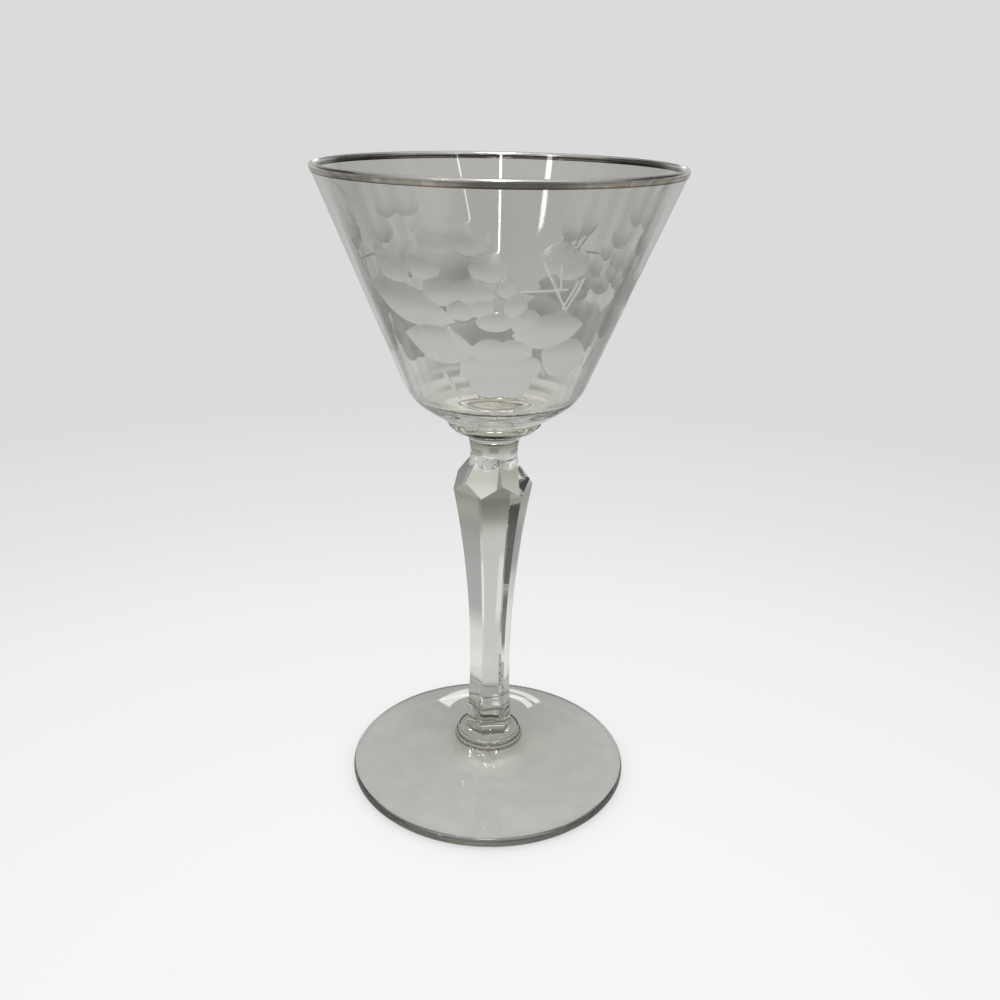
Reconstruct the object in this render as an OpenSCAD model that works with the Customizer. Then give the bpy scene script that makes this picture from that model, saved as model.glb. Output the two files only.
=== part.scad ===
// A stemmed cocktail glass: a conical bowl with a metal-lined rim, on a six-sided
// cut stem with a knop, joined to the bowl and to a round foot by collars of glass.
// Millimetres, +Z up, standing on Z = 0 with the axis of the glass on the Z axis.

/* [Foot] */
// Diameter of the foot
foot_d = 66.4; // [58:0.2:80]
// Thickness of the rounded edge of the foot
foot_edge_t = 2.6; // [2:0.1:3.2]
// Height of the flat seat in the middle of the foot
foot_h = 8.6; // [7.5:0.1:11]
// Radius of the long hollow curve of the upper face, seen from the side
foot_sweep_r = 160; // [110:5:300]
// Depth of the dished hollow under the foot
foot_hollow_h = 3.5; // [1:0.1:4]
// Width of the flat ring that the foot stands on
foot_rest_w = 2; // [1:0.1:4]

/* [Foot collar] */
// Diameter of the collar over its lower bead
foot_collar_d = 16; // [15:0.1:20]
// Height of the collar
foot_collar_h = 2.1; // [1.6:0.1:3]
// How far the upper bead is set in from the lower one, on the radius
foot_collar_step = 0.45; // [0.2:0.05:0.8]

/* [Stem] */
// Length of the stem from collar to collar
stem_h = 74.3; // [60:0.1:90]
// Turn of the ridges of the stem about the axis
stem_turn = 13.5; // [0:0.5:60]
// How far the flats of the plinth stand out from the long facets
plinth_out = 0.31; // [0.2:0.01:0.8]
// Height of the upright part of the plinth
plinth_h = 3.5; // [2:0.1:5]
// Height of the slope between the plinth and the long facets
plinth_slope_h = 3.4; // [2:0.1:5]
// Width of the fine ledge where the long facets end on the slope
plinth_ledge = 0.05; // [0.03:0.01:0.1]
// Width of the stem across its flats where it is thinnest
waist_af = 8.4; // [8:0.1:9]
// Height of the thinnest place above the bottom of the stem
waist_z = 18.3; // [15:0.1:21]
// Width of the stem across its flats at the points of the knop's facets
knop_af = 15.8; // [14.6:0.1:17]
// Distance of those points below the top of the stem
knop_down = 11.4; // [10.4:0.1:12.2]
// Lean of the knop's upper facets from upright, in degrees
knop_lean = 34; // [31:0.5:37]
// Diameter of the round neck where it is thinnest
neck_d = 10.5; // [9.8:0.1:11.4]
// Distance of that place below the top of the stem
neck_down = 3.2; // [2.4:0.1:4.2]
// Radius of the hollow curve of the neck, seen from the side
neck_sweep_r = 12; // [10:0.5:16]

/* [Bowl collar] */
// Diameter of the disc under the bowl
bowl_collar_d = 20.6; // [18:0.1:24]
// Height of the collar
bowl_collar_h = 4.6; // [3.8:0.1:6]
// Height of the upright edge of the disc
bowl_collar_edge_h = 1; // [0.5:0.1:1.4]
// Width and height of the slanted edge below it
bowl_collar_bevel = 1; // [0.5:0.1:1.4]
// Radius of the hollow curve under the disc, seen from the side
bowl_collar_sweep_r = 5; // [4.5:0.5:12]

/* [Bowl] */
// Diameter of the rim, over its metal line
rim_d = 76; // [70:0.5:88]
// Height of the bowl from its seat to the top of the rim
bowl_h = 53.4; // [48:0.2:60]
// Thickness of the wall
wall_t = 1.2; // [1:0.1:2.2]
// Thickness of the floor of the bowl
floor_t = 2.4; // [2:0.1:3.6]
// Diameter of the flat seat under the bowl
bowl_seat_d = 21.2; // [18:0.1:26]
// Diameter at the shoulder, where the lines of the underside and the wall meet
shoulder_d = 37; // [32:0.2:42]
// Height of that meeting above the seat
shoulder_h = 5.15; // [4:0.05:7]
// Radius of the outer shoulder between the underside and the wall
shoulder_r = 12; // [8:0.5:14]
// Radius of the inner corner between the floor and the underside
floor_corner_r = 10; // [6:0.5:12]

/* [Rim line] */
// Thickness of the fired metal on the rim
rim_line_t = 0.1; // [0.06:0.01:0.2]
// Reach of the metal down the outside of the wall, below the rounded lip
rim_line_out = 0.9; // [0.6:0.1:4]
// Reach of the metal down the inside of the wall, below the rounded lip
rim_line_in = 0.3; // [0.2:0.1:3]

/* [Hidden] */
$fn = 180;
// Fineness of the long hollow curves, which belong to very large circles
sweep_fn = 1440;
// Pieces in each rounded corner of the bowl
corner_steps = 12;

// Levels of the seats, from the table up
stem_base_z = foot_h + foot_collar_h;
stem_top_z = stem_base_z + stem_h;
bowl_base_z = stem_top_z + bowl_collar_h;

// Six sides: the turn from one side to the next, and half of it
side_turn = 60;
half_side = side_turn / 2;

// Heights of the knop's points and of the thinnest neck above the bottom of the stem
knop_z = stem_h - knop_down;
neck_z = stem_h - neck_down;

// Radius of the long hollow facets, seen from the side, from the waist to the knop
facet_swell = (knop_af - waist_af) / 2;
facet_sweep_r = (pow(knop_z - waist_z, 2) + pow(facet_swell, 2)) / (2 * facet_swell);

// Distance from the axis to a long facet, at a height above the bottom of the stem
function facet_r(z) =
    waist_af / 2 + facet_sweep_r - sqrt(pow(facet_sweep_r, 2) - pow(z - waist_z, 2));

// Radius of the round neck, at a height above the bottom of the stem
function neck_r(z) =
    neck_d / 2 + neck_sweep_r - sqrt(pow(neck_sweep_r, 2) - pow(z - neck_z, 2));

// The knop's facets rise from points on the ridges of the stem and lean in
knop_r = facet_r(knop_z) / cos(half_side);
knop_slope = tan(knop_lean);
knop_r_at_neck = knop_r - knop_slope * (neck_z - knop_z);
// Depth below the thinnest place at which the neck's curve lies deepest inside the knop
neck_reach = knop_slope * (neck_d / 2 + neck_sweep_r - knop_r_at_neck) / (1 + pow(knop_slope, 2));
// Level where the plinth's slope meets the long facets
crease_z = plinth_h + plinth_slope_h;
// Level inside the slope from which the long facets rise
facet_base_z = crease_z - plinth_slope_h / 2;
// Half-width of the blank that the facets are cut from
blank_r = facet_r(neck_z) / cos(half_side);

// Points of an arc about a centre
function arc(centre, r, from, to) =
    [for (i = [0:corner_steps]) let (a = from + (to - from) * i / corner_steps)
        centre + r * [cos(a), sin(a)]];

// Points of the rounded corner at the second of three points, limited by the legs beside it
function rounded(before, corner, after, wanted_r) =
    let (back = before - corner,
         ahead = after - corner,
         half = acos(back * ahead / norm(back) / norm(ahead)) / 2,
         r = min(wanted_r, min(norm(back), norm(ahead)) / 2 * tan(half)),
         start = back / norm(back),
         end = ahead / norm(ahead),
         centre = corner + (start + end) / norm(start + end) * r / sin(half),
         first = corner + start * r / tan(half) - centre,
         last = corner + end * r / tan(half) - centre,
         from = atan2(first[1], first[0]),
         swing = atan2(first[0] * last[1] - first[1] * last[0], first * last))
    arc(centre, r, from, from + swing);

// The point where two lines meet, each given by a point and a direction
function meet(p, along_p, q, along_q) =
    p + along_p * ((q - p) * [along_q[1], -along_q[0]]) / (along_p * [along_q[1], -along_q[0]]);

// Centre of the circle of radius r through two points, on the right of the way between them
function sweep_centre(from, to, r) =
    let (half = (to - from) / 2, span = norm(half))
    from + half + [half[1], -half[0]] * sqrt(r * r - span * span) / span;

// The round foot: a full-round edge, a swept upper face and a dished underside
module foot() {
    edge_r = foot_edge_t / 2;
    edge_x = foot_d / 2 - edge_r;
    edge_top = [edge_x, foot_edge_t];
    seat = [foot_collar_d / 2 - foot_collar_step, foot_h];
    hollow_x = edge_x - foot_rest_w;
    hollow_r = (pow(hollow_x, 2) + pow(foot_hollow_h, 2)) / (2 * foot_hollow_h);
    color("gainsboro")
        rotate_extrude()
            difference() {
                union() {
                    polygon([[0, 0], [edge_x, 0], edge_top, seat, [0, foot_h]]);
                    translate([edge_x, edge_r])
                        circle(r = edge_r);
                }
                translate(sweep_centre(edge_top, seat, foot_sweep_r))
                    circle(r = foot_sweep_r, $fn = sweep_fn);
                translate([0, foot_hollow_h - hollow_r])
                    circle(r = hollow_r, $fn = sweep_fn);
            }
}

// The collar between the foot and the stem: two beads, the upper one set in
module foot_collar() {
    bead_r = foot_collar_h / 4;
    color("lightgray")
        translate([0, 0, foot_h])
            rotate_extrude()
                for (bead = [0, 1]) {
                    bead_x = foot_collar_d / 2 - bead_r - bead * foot_collar_step;
                    translate([0, 2 * bead * bead_r])
                        square([bead_x, 2 * bead_r]);
                    translate([bead_x, (2 * bead + 1) * bead_r])
                        circle(r = bead_r);
                }
}

// A slab between two opposite sides of the plinth, which slope in to the long facets
module plinth_pair() {
    plinth_x = facet_r(crease_z) + plinth_out;
    crease_x = facet_r(crease_z) + plinth_ledge;
    rotate([90, 0, 0])
        linear_extrude(height = 2 * blank_r, center = true)
            polygon([
                [-plinth_x, 0], [plinth_x, 0], [plinth_x, plinth_h], [crease_x, crease_z],
                [-crease_x, crease_z], [-plinth_x, plinth_h]
            ]);
}

// A slab between two opposite long facets, which rise from inside the plinth
module facet_pair() {
    rotate([90, 0, 0])
        linear_extrude(height = 2 * blank_r, center = true)
            difference() {
                translate([-blank_r, facet_base_z])
                    square([2 * blank_r, neck_z - facet_base_z]);
                for (side = [0, 1])
                    mirror([side, 0])
                        translate([waist_af / 2 + facet_sweep_r, waist_z])
                            circle(r = facet_sweep_r, $fn = sweep_fn);
            }
}

// A slab between two opposite facets of the knop, which lean in towards the neck
module knop_pair() {
    base_r = knop_r + knop_slope * knop_z;
    rotate([90, 0, 0])
        linear_extrude(height = 2 * base_r, center = true)
            polygon([[-base_r, 0], [base_r, 0], [knop_r_at_neck, neck_z], [-knop_r_at_neck, neck_z]]);
}

// The round hollow-sided neck, whose lower end lies inside the knop
module neck() {
    rotate_extrude()
        difference() {
            translate([0, neck_z - neck_reach])
                square([neck_d / 2 + neck_sweep_r, stem_h - neck_z + neck_reach]);
            translate([neck_d / 2 + neck_sweep_r, neck_z])
                circle(r = neck_sweep_r);
        }
}

// The six-sided stem: long hollow facets from plinth to knop, and six facets on the knop
// that stand over the ridges, so that the two sets meet in a zigzag
module stem() {
    color("whitesmoke")
        translate([0, 0, stem_base_z])
            rotate(stem_turn) {
                intersection_for (turn = [0:side_turn:2 * side_turn])
                    rotate(half_side + turn)
                        plinth_pair();
                intersection() {
                    intersection_for (turn = [0:side_turn:2 * side_turn])
                        rotate(half_side + turn)
                            facet_pair();
                    intersection_for (turn = [0:side_turn:2 * side_turn])
                        rotate(turn)
                            knop_pair();
                }
                neck();
            }
}

// The collar between the stem and the bowl: a bevelled disc that sweeps down to the neck
module bowl_collar() {
    disc_r = bowl_collar_d / 2;
    bevel_z = bowl_collar_h - bowl_collar_edge_h - bowl_collar_bevel;
    bevel_end = [disc_r - bowl_collar_bevel, bevel_z];
    neck_end = [neck_r(stem_h), 0];
    color("lightgray")
        translate([0, 0, stem_top_z])
            rotate_extrude()
                difference() {
                    polygon([
                        [0, 0], neck_end, bevel_end, [disc_r, bevel_z + bowl_collar_bevel],
                        [disc_r, bowl_collar_h], [0, bowl_collar_h]
                    ]);
                    translate(sweep_centre(neck_end, bevel_end, bowl_collar_sweep_r))
                        circle(r = bowl_collar_sweep_r);
                }
}

// The lip is a full round; the wall leans out from the shoulder to touch its outer side
lip_r = wall_t / 2;
lip_centre = [rim_d / 2 - lip_r - rim_line_t, bowl_h - lip_r - rim_line_t];
shoulder = [shoulder_d / 2, shoulder_h];
to_lip = lip_centre - shoulder;
wall_lean = atan2(to_lip[0], to_lip[1]) + asin(lip_r / norm(to_lip));
wall_down = [-sin(wall_lean), -cos(wall_lean)];
wall_out = [cos(wall_lean), -sin(wall_lean)];

// The bowl: a leaning wall, a rounded shoulder and a sloping underside round a flat seat
module bowl() {
    seat = [bowl_seat_d / 2, 0];
    rise = (shoulder - seat) / norm(shoulder - seat);
    rise_in = wall_t * [-rise[1], rise[0]];
    outer_lip = lip_centre + lip_r * wall_out;
    inner_lip = lip_centre - lip_r * wall_out;
    inner_corner = meet(inner_lip, wall_down, seat + rise_in, rise);
    floor_corner = meet([0, floor_t], [1, 0], seat + rise_in, rise);
    color("gainsboro")
        translate([0, 0, bowl_base_z])
            rotate_extrude()
                polygon(concat(
                    [[0, 0], seat],
                    rounded(seat, shoulder, outer_lip, shoulder_r),
                    arc(lip_centre, lip_r, -wall_lean, 180 - wall_lean),
                    rounded(inner_lip, inner_corner, floor_corner, shoulder_r - wall_t),
                    rounded(inner_corner, floor_corner, [0, floor_t], floor_corner_r),
                    [[0, floor_t]]
                ));
}

// The metal line fired over the lip and a little way down both faces of the wall
module rim_line() {
    line_r = lip_r + rim_line_t;
    outer_end = lip_centre + rim_line_out * wall_down;
    inner_end = lip_centre + rim_line_in * wall_down;
    color("darkgray")
        translate([0, 0, bowl_base_z])
            rotate_extrude()
                polygon(concat(
                    [outer_end + lip_r * wall_out, outer_end + line_r * wall_out],
                    arc(lip_centre, line_r, -wall_lean, 180 - wall_lean),
                    [inner_end - line_r * wall_out, inner_end - lip_r * wall_out],
                    arc(lip_centre, lip_r, 180 - wall_lean, -wall_lean)
                ));
}

foot();
foot_collar();
stem();
bowl_collar();
bowl();
rim_line();
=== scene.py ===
# %% [markdown]
# # A stemmed cocktail glass with wheel-cut flowers
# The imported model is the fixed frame: it holds the true place and size of the six pieces of the glass.
# Here each piece gets a finer mesh of the same shape and a finish made of shader nodes. Glass shows
# everything behind and around it, so half of this lesson is about its surroundings.

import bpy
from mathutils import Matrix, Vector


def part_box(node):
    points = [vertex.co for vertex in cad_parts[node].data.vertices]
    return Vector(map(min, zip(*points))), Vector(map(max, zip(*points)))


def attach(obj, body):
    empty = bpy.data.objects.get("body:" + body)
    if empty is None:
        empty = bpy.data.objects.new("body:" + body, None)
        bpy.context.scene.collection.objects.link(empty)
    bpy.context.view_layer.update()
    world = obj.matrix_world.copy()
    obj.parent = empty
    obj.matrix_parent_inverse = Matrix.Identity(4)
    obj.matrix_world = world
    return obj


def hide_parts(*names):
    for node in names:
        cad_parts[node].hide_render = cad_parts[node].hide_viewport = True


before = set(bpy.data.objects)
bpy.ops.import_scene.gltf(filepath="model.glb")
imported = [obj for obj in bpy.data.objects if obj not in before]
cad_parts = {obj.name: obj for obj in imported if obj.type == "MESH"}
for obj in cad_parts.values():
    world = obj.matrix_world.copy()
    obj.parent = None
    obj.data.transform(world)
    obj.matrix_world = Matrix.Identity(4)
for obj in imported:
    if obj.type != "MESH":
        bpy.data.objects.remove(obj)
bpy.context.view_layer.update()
print("nodes in the frame:", sorted(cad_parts))

# %% Modules, and the unit of the drawing
from functools import partial
from math import asin, atan2, cos, degrees, hypot, pi, radians, sin, sqrt, tan

import bmesh
import bpy
import numpy as np
from mathutils import Matrix, Vector

MM = 0.001
AXIS = Vector((0, 0, 1))
scene = bpy.context.scene

# %% [markdown]
# ## The camera
# The photograph was taken from a little above the rim, close to the glass, so the rim and the foot show
# as open ellipses. The camera's place and tilt were found by fitting those two ellipses. The small roll
# is in the photograph too: the rim hangs a little lower on the right.

# %% Put up the camera
EYE = Vector((0, -222.3 * MM, 158.1 * MM))
EYE_TILT = radians(21.59)
EYE_ROLL = radians(1.12)
IMAGE_SIDE = 1000
FOCAL_PIXELS = 1057
MIDDLE_PIXEL = 493
SENSOR_W = 36
NEAREST = 5 * MM


def new_object(name, data):
    """A new object in the scene."""
    made = bpy.data.objects.new(name, data)
    scene.collection.objects.link(made)
    return made


lens = bpy.data.cameras.new("camera")
lens.sensor_width = SENSOR_W
lens.lens = SENSOR_W * FOCAL_PIXELS / IMAGE_SIDE
lens.shift_x = (IMAGE_SIDE / 2 - MIDDLE_PIXEL) / IMAGE_SIDE
lens.clip_start = NEAREST
camera = new_object("camera", lens)
look_down = Matrix.Rotation(pi / 2 - EYE_TILT, 4, "X") @ Matrix.Rotation(EYE_ROLL, 4, "Z")
camera.matrix_world = Matrix.Translation(EYE) @ look_down
scene.camera = camera
print("lens", round(lens.lens, 2), "mm")

# %% [markdown]
# ## Outlines
# Five of the six pieces were turned: each is one outline spun about the axis of the glass. An outline is
# a list of (radius, height) points. Straight stretches get extra points close to their ends, so that the
# soft shading of a rounded corner doesn't spread along the whole stretch: on glass that would bend the
# view through it.

# %% Helpers for outlines
END_STEP = 0.12 * MM
MOST_END_SHARE = 0.25
SHORT_STEPS = 3


def arc(centre, r, start, end, steps):
    """Points on a circle, from one angle to another."""
    turns = np.linspace(start, end, steps + 1)
    return [(centre[0] + r * cos(a), centre[1] + r * sin(a)) for a in turns]


def straight(start, end, steps=SHORT_STEPS):
    """Points strictly between two points: one close to each end and the rest evenly spread."""
    start, end = np.array(start), np.array(end)
    near = min(MOST_END_SHARE, END_STEP / np.linalg.norm(end - start))
    shares = [near, *np.linspace(0, 1, steps + 1)[1:-1], 1 - near]
    return [tuple(start + (end - start) * share) for share in shares]


def swept(start, end, r, steps):
    """Points on a hollow curve of radius r between two points, with its centre to the right of the way."""
    start, end = np.array(start), np.array(end)
    half = (end - start) / 2
    span = np.linalg.norm(half)
    across = np.array((half[1], -half[0])) / span
    centre = start + half + across * sqrt(r * r - span * span)
    first = atan2(start[1] - centre[1], start[0] - centre[0])
    last = atan2(end[1] - centre[1], end[0] - centre[0])
    return arc(centre, r, first, last, steps)


def rounded(before, corner, after, wanted_r, steps):
    """Points of the rounded corner at the second of three points, limited by the legs beside it."""
    before, corner, after = np.array(before), np.array(corner), np.array(after)
    back = (before - corner) / np.linalg.norm(before - corner)
    ahead = (after - corner) / np.linalg.norm(after - corner)
    half = np.arccos(back @ ahead) / 2
    leg = min(np.linalg.norm(before - corner), np.linalg.norm(after - corner)) / 2
    r = min(wanted_r, leg * tan(half))
    middle = (back + ahead) / np.linalg.norm(back + ahead)
    centre = corner + middle * r / sin(half)
    first = corner + back * r / tan(half) - centre
    last = corner + ahead * r / tan(half) - centre
    swing = atan2(first[0] * last[1] - first[1] * last[0], first @ last)
    start = atan2(first[1], first[0])
    return arc(centre, r, start, start + swing, steps)


print("outline helpers ready")

# %% Spin an outline into a closed mesh
SHARP = radians(28)


def add_piece(mesh):
    """A piece with the name of its mesh, shaded smooth but for its true corners."""
    mesh.shade_smooth()
    mesh.set_sharp_from_angle(angle=SHARP)
    return new_object(mesh.name, mesh)


def lathe(name, outline, columns):
    """Spins an outline that starts and ends on the axis. The columns run to the right of the camera."""
    bearings = np.arange(columns) * 2 * pi / columns
    ring_count = len(outline) - 2
    inner = np.array(outline[1:-1])
    rings = np.empty((ring_count, columns, 3))
    rings[:, :, 0] = inner[:, :1] * np.sin(bearings)
    rings[:, :, 1] = -inner[:, :1] * np.cos(bearings)
    rings[:, :, 2] = inner[:, 1:]
    points = rings.reshape(-1, 3).tolist()
    bottom, top = len(points), len(points) + 1
    points += [(0, 0, outline[0][1]), (0, 0, outline[-1][1])]
    ahead = np.roll(np.arange(columns), -1)
    faces = []
    for row in range(ring_count - 1):
        low, high = row * columns, (row + 1) * columns
        faces += [(low + i, low + j, high + j, high + i) for i, j in enumerate(ahead)]
    last = (ring_count - 1) * columns
    faces += [(bottom, j, i) for i, j in enumerate(ahead)]
    faces += [(top, last + i, last + j) for i, j in enumerate(ahead)]
    mesh = bpy.data.meshes.new(name)
    mesh.from_pydata(points, [], faces)
    print(name, len(points), "points", len(faces), "faces")
    return mesh


print("corners over", round(degrees(SHARP)), "degrees stay sharp")

# %% [markdown]
# ## The foot
# The foot is a thin disc with a full-round edge. Its top sweeps up to a small seat in the middle and its
# underside is dished, so it stands on a narrow ring. A disc with a bevel would come close, but the hollow
# between the dish and the table is what makes a real foot look light, so the whole outline is spun.

# %% Make the foot
COLUMNS = 256
foot_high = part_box("foot")[1]
collar_low, collar_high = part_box("foot_collar")
EDGE_R = 1.3 * MM
FOOT_SWEEP_R = 160 * MM
HOLLOW_H = 3.5 * MM
REST_W = 2 * MM
COLLAR_STEP = 0.45 * MM
HOLLOW_STEPS = 24
REST_STEPS = 2
ROUND_STEPS = 20
SWEEP_STEPS = 40
BEADS = 2

bead_r = (collar_high.z - collar_low.z) / (2 * BEADS)
edge_x = foot_high.x - EDGE_R
seat_r = collar_high.x - COLLAR_STEP
bead_x = collar_high.x - bead_r
hollow_x = edge_x - REST_W
hollow_r = (hollow_x**2 + HOLLOW_H**2) / (2 * HOLLOW_H)
hollow_centre = (0, HOLLOW_H - hollow_r)
hollow_end = atan2(-hollow_centre[1], hollow_x)
foot_outline = [
    *arc(hollow_centre, hollow_r, pi / 2, hollow_end, HOLLOW_STEPS),
    *straight((hollow_x, 0), (edge_x, 0), REST_STEPS),
    *arc((edge_x, EDGE_R), EDGE_R, -pi / 2, pi / 2, ROUND_STEPS),
    *swept((edge_x, 2 * EDGE_R), (seat_r, foot_high.z), FOOT_SWEEP_R, SWEEP_STEPS)[1:],
    (bead_x, foot_high.z),
    (bead_x / 2, foot_high.z),
    (0, foot_high.z),
]
foot = add_piece(lathe("foot_glass", foot_outline, COLUMNS))

# %% [markdown]
# ## The collars
# A small wafer of glass joins the stem to the foot. It was pressed with two beads, and the upper one is
# set in. The wafer under the bowl is a disc with a slanted edge that sweeps down to the neck of the stem.

# %% Make the foot's collar
STEM_R = 5.48 * MM
BEAD_STEPS = 14

bead_rows = []
for bead in range(BEADS):
    centre = (bead_x - bead * COLLAR_STEP, collar_low.z + (2 * bead + 1) * bead_r)
    bead_rows += arc(centre, bead_r, -pi / 2, pi / 2, BEAD_STEPS)
collar_outline = [
    (0, collar_low.z),
    (bead_x / 2, collar_low.z),
    *bead_rows,
    (STEM_R + END_STEP, collar_high.z),
    (STEM_R, collar_high.z),
    (0, collar_high.z),
]
foot_collar = add_piece(lathe("foot_collar_glass", collar_outline, COLUMNS))

# %% Make the bowl's collar
disc_low, disc_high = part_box("bowl_collar")
stem_low, stem_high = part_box("stem")
DISC_EDGE_H = 1 * MM
DISC_BEVEL = 1 * MM
DISC_SWEEP_R = 5 * MM
NECK_D = 10.5 * MM
NECK_DOWN = 3.2 * MM
NECK_SWEEP_R = 12 * MM
DISC_SWEEP_STEPS = 16


def neck_r(down):
    """Radius of the round neck, at a distance below the top of the stem."""
    return NECK_D / 2 + NECK_SWEEP_R - sqrt(NECK_SWEEP_R**2 - (NECK_DOWN - down) ** 2)


disc_r = disc_high.x
bevel_end = (disc_r - DISC_BEVEL, disc_high.z - DISC_EDGE_H - DISC_BEVEL)
disc_outline = [
    (0, disc_low.z),
    (neck_r(0) / 2, disc_low.z),
    *swept((neck_r(0), disc_low.z), bevel_end, DISC_SWEEP_R, DISC_SWEEP_STEPS),
    *straight(bevel_end, (disc_r, disc_high.z - DISC_EDGE_H)),
    (disc_r, disc_high.z - DISC_EDGE_H),
    *straight((disc_r, disc_high.z - DISC_EDGE_H), (disc_r, disc_high.z)),
    (disc_r, disc_high.z),
    (disc_r / 2, disc_high.z),
    (0, disc_high.z),
]
bowl_collar = add_piece(lathe("bowl_collar_glass", disc_outline, COLUMNS))

# %% [markdown]
# ## The stem
# This is the piece that took the most skill. Six long hollow facets run from a plinth up to a knop. Six
# more facets lean in above them. They stand over the ridges, so the two sets meet in a zigzag, and a
# round neck grows out of the knop. The mesh is made the way the glass was: a six-sided blank is swept
# along the stem, six flat cuts take off its top, and the turned neck is joined on. A fine bevel then
# softens every ridge, as polishing did.

# %% Sweep the six-sided blank
SIDES = 6
STEM_TURN = radians(13.5)
PLINTH_OUT = 0.31 * MM
PLINTH_H = 3.5 * MM
PLINTH_SLOPE_H = 3.4 * MM
WAIST_AF = 8.4 * MM
WAIST_Z = 18.3 * MM
KNOP_AF = 15.8 * MM
KNOP_DOWN = 11.4 * MM
KNOP_LEAN = radians(34)
FACET_ROWS = 72
ridge_turns = [STEM_TURN + side * 2 * pi / SIDES for side in range(SIDES)]
to_ridge = 1 / cos(pi / SIDES)

stem_h = stem_high.z - stem_low.z
knop_z = stem_h - KNOP_DOWN
swell = (KNOP_AF - WAIST_AF) / 2
facet_sweep_r = ((knop_z - WAIST_Z) ** 2 + swell**2) / (2 * swell)


def facet_r(z):
    """Distance from the axis to a long facet, at a height above the bottom of the stem."""
    return WAIST_AF / 2 + facet_sweep_r - sqrt(facet_sweep_r**2 - (z - WAIST_Z) ** 2)


crease_z = PLINTH_H + PLINTH_SLOPE_H
plinth_r = facet_r(crease_z) + PLINTH_OUT
blank_top_z = stem_h - NECK_DOWN
levels = [(plinth_r, 0), (plinth_r, PLINTH_H)]
levels += [(facet_r(z), z) for z in np.linspace(crease_z, blank_top_z, FACET_ROWS)]

blank = bmesh.new()
rows = []
for flat_r, z in levels:
    ring_r = flat_r * to_ridge
    places = [(ring_r * cos(turn), ring_r * sin(turn), stem_low.z + z) for turn in ridge_turns]
    rows.append([blank.verts.new(place) for place in places])
for low, high in zip(rows, rows[1:]):
    for side in range(SIDES):
        ahead = (side + 1) % SIDES
        blank.faces.new((low[side], low[ahead], high[ahead], high[side]))
blank.faces.new(rows[0][::-1])
blank.faces.new(rows[-1])
print("blank of", len(rows), "rows")

# %% Cut the knop
CUT_SLACK = 1e-8
WELD_REACH = 1e-7

knop_r = facet_r(knop_z) * to_ridge
for turn in ridge_turns:
    outward = Vector((cos(turn), sin(turn), 0))
    normal = outward * cos(KNOP_LEAN) + AXIS * sin(KNOP_LEAN)
    point = outward * knop_r + AXIS * (stem_low.z + knop_z)
    everything = [*blank.verts, *blank.edges, *blank.faces]
    cut = bmesh.ops.bisect_plane(
        blank, geom=everything, dist=CUT_SLACK, plane_co=point, plane_no=normal, clear_outer=True
    )
    rim = [part for part in cut["geom_cut"] if isinstance(part, bmesh.types.BMEdge)]
    bmesh.ops.edgenet_fill(blank, edges=rim)
bmesh.ops.remove_doubles(blank, verts=blank.verts, dist=WELD_REACH)
bmesh.ops.recalc_face_normals(blank, faces=blank.faces)
blank_mesh = bpy.data.meshes.new("stem_blank")
blank.to_mesh(blank_mesh)
blank.free()
print("stem blank", len(blank_mesh.polygons), "faces")

# %% Join the round neck on, soften the ridges
RIDGE_BEVEL = 0.16 * MM
RIDGE_SEGMENTS = 3
NECK_COLUMNS = 96
NECK_ROWS = 30

knop_slope = tan(KNOP_LEAN)
knop_r_at_neck = knop_r - knop_slope * (blank_top_z - knop_z)
neck_reach = knop_slope * (NECK_D / 2 + NECK_SWEEP_R - knop_r_at_neck) / (1 + knop_slope**2)
neck_outline = [(0, stem_high.z - NECK_DOWN - neck_reach)]
for down in np.linspace(NECK_DOWN + neck_reach, 0, NECK_ROWS):
    neck_outline.append((neck_r(down), stem_high.z - down))
neck_outline.append((0, stem_high.z))

stem = new_object("stem_glass", blank_mesh)
neck = new_object("stem_neck", lathe("stem_neck", neck_outline, NECK_COLUMNS))
join = stem.modifiers.new("join", "BOOLEAN")
join.operation = "UNION"
join.object = neck
join.solver = "EXACT"
soften = stem.modifiers.new("soften", "BEVEL")
soften.width = RIDGE_BEVEL
soften.segments = RIDGE_SEGMENTS
soften.limit_method = "ANGLE"
soften.angle_limit = SHARP
weigh = stem.modifiers.new("weigh", "WEIGHTED_NORMAL")
weigh.keep_sharp = True
blank_mesh.shade_smooth()
neck.data.shade_smooth()
bpy.context.view_layer.update()
made = stem.evaluated_get(bpy.context.evaluated_depsgraph_get())
stem_mesh = bpy.data.meshes.new_from_object(made)
stem.modifiers.clear()
stem.data = stem_mesh
bpy.data.objects.remove(neck)
print("stem", len(stem_mesh.polygons), "faces")

# %% [markdown]
# ## The bowl and its cutting
# The bowl is a thin cone with a rounded shoulder. Flowers were ground into its outside with a stone
# wheel: each touch of the wheel leaves a shallow oval scoop with a grey, matt floor. This is an old and
# common way to trim stemware. The scoops could be bump in a material, but their edges catch the light
# from every side, so they are real: the outer wall gets a fine grid, and every point of it sinks to the
# deepest scoop that covers it.

# %% Lines of the bowl
bowl_low, bowl_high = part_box("bowl")
WALL_T = 1.2 * MM
FLOOR_T = 2.4 * MM
BOWL_SEAT_R = 10.6 * MM
SHOULDER_R = 12 * MM
INNER_SHOULDER_R = 4 * MM
FLOOR_CORNER_R = 10 * MM
SHOULDER_X = 18.5 * MM
SHOULDER_UP = 5.15 * MM

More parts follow.
